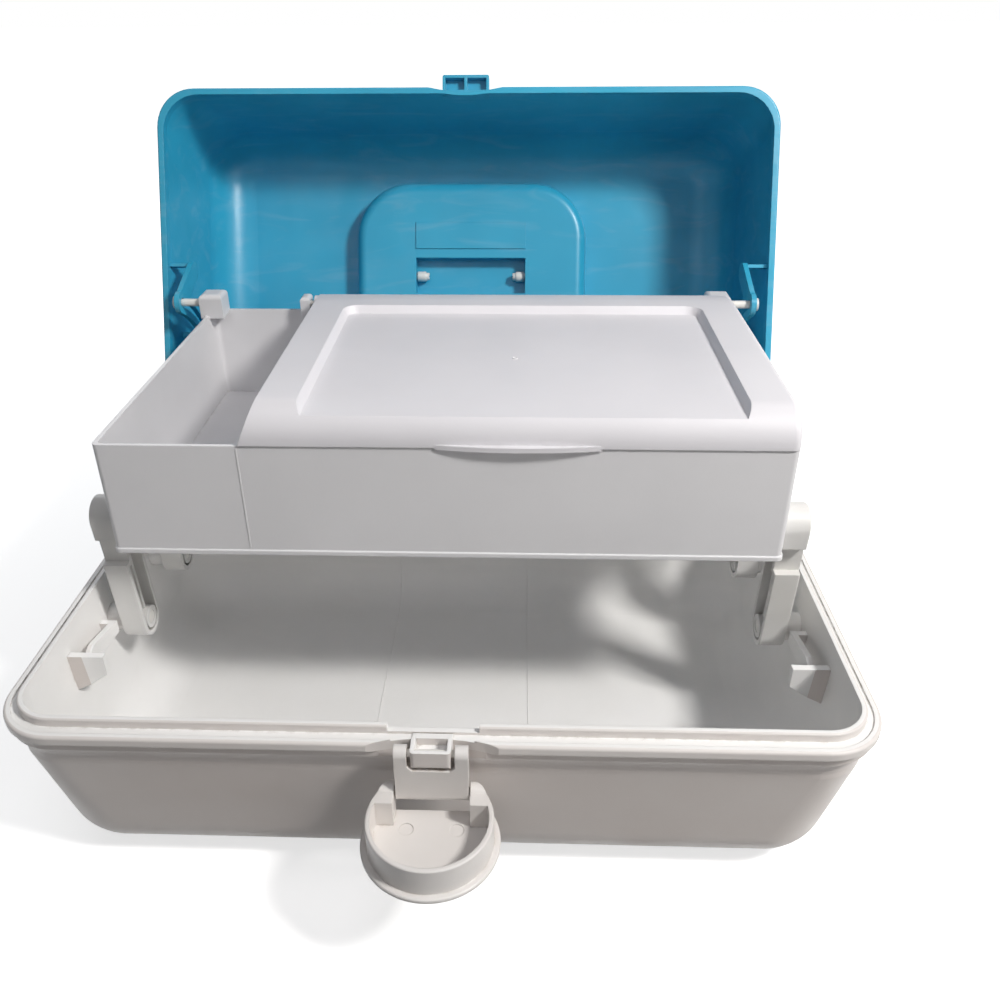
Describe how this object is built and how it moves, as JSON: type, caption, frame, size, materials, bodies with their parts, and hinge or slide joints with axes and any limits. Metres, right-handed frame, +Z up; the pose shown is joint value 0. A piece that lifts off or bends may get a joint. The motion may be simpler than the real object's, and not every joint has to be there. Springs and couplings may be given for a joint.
{
  "type": "makeup storage case",
  "caption": "Hinged storage case with a carrying handle, a front latch and a raised tray on swing arms that lifts as the lid opens.",
  "frame": {"origin": "centre of the base on the table", "axes": "+X to the case's right as its front is faced, +Y to the back, +Z up"},
  "size_m": [0.3294, 0.3946, 0.2647],
  "materials": {
    "white_plastic": "moulded, satin gloss",
    "tray_plastic": "moulded, satin gloss",
    "cover_plastic": "moulded, fine texture",
    "latch_plastic": "moulded, satin gloss",
    "teal_plastic": "moulded, satin",
    "steel_pin": "plain wire"
  },
  "bodies": {
    "base": {"base_tub": "white_plastic", "hinge_pin_left": "steel_pin", "hinge_pin_right": "steel_pin", "front_arm_base_pin_left": "white_plastic", "front_arm_base_pin_right": "white_plastic", "rear_arm_base_pin_left": "white_plastic", "rear_arm_base_pin_right": "white_plastic", "latch_bracket": "white_plastic", "latch_link_pin": "white_plastic"},
    "lid": {"lid_shell": "teal_plastic", "lid_track_left": "teal_plastic", "lid_track_right": "teal_plastic"},
    "handle": {"handle": "white_plastic"},
    "tray": {"tray": "tray_plastic", "front_arm_tray_pin_left": "white_plastic", "front_arm_tray_pin_right": "white_plastic", "rear_arm_tray_pin_left": "white_plastic", "rear_arm_tray_pin_right": "white_plastic", "guide_pin_left": "white_plastic", "guide_pin_right": "white_plastic", "cover_pin_left": "white_plastic", "cover_pin_right": "white_plastic"},
    "cover": {"tray_cover": "cover_plastic"},
    "link": {"latch_link": "latch_plastic"},
    "button": {"latch_button": "latch_plastic", "latch_button_pin": "white_plastic"},
    "front_arm_left": {"front_arm_left": "white_plastic"},
    "front_arm_right": {"front_arm_right": "white_plastic"},
    "rear_arm_left": {"rear_arm_left": "white_plastic"},
    "rear_arm_right": {"rear_arm_right": "white_plastic"}
  },
  "joints": [
    {"name": "lid_hinge", "type": "hinge", "parent": "base", "child": "lid", "pos_m": [0, 0.103, 0.073], "axis": [-1, 0, 0], "range_deg": [-112.9, 0]},
    {"name": "front_arm_left_pivot", "type": "hinge", "parent": "base", "child": "front_arm_left", "pos_m": [-0.142, -0.0057, 0.058], "axis": [-1, 0, 0], "range_deg": [-61.7, 0]},
    {"name": "front_arm_right_pivot", "type": "hinge", "parent": "base", "child": "front_arm_right", "pos_m": [0.142, -0.0057, 0.058], "axis": [-1, 0, 0], "range_deg": [-61.7, 0]},
    {"name": "rear_arm_left_pivot", "type": "hinge", "parent": "base", "child": "rear_arm_left", "pos_m": [-0.142, 0.0463, 0.058], "axis": [-1, 0, 0], "range_deg": [-61.7, 0]},
    {"name": "rear_arm_right_pivot", "type": "hinge", "parent": "base", "child": "rear_arm_right", "pos_m": [0.142, 0.0463, 0.058], "axis": [-1, 0, 0], "range_deg": [-61.7, 0]},
    {"name": "tray_pivot", "type": "hinge", "parent": "front_arm_left", "child": "tray", "pos_m": [-0.142, -0.01102, 0.11535], "axis": [-1, 0, 0], "range_deg": [0, 61.7]},
    {"name": "cover_hinge", "type": "hinge", "parent": "tray", "child": "cover", "pos_m": [0.0227, 0.132, 0.1601], "axis": [-1, 0, 0], "range_deg": [0, 100]},
    {"name": "handle_pivot", "type": "hinge", "parent": "lid", "child": "handle", "pos_m": [0, 0.21622, 0.14958], "axis": [1, 0, 0], "range_deg": [0, 95]},
    {"name": "latch_link_pivot", "type": "hinge", "parent": "base", "child": "link", "pos_m": [0, -0.1047, 0.0768], "axis": [-1, 0, 0], "range_deg": [0, 75]},
    {"name": "latch_button_pivot", "type": "hinge", "parent": "link", "child": "button", "pos_m": [0, -0.1047, 0.0585], "axis": [1, 0, 0], "range_deg": [-90, 0]}
  ],
  "couplings": [
    {"joint": "front_arm_left_pivot", "follows": "lid_hinge", "ratio": 0.5465},
    {"joint": "front_arm_right_pivot", "follows": "lid_hinge", "ratio": 0.5465},
    {"joint": "rear_arm_left_pivot", "follows": "lid_hinge", "ratio": 0.5465},
    {"joint": "rear_arm_right_pivot", "follows": "lid_hinge", "ratio": 0.5465},
    {"joint": "tray_pivot", "follows": "lid_hinge", "ratio": -0.5465}
  ]
}
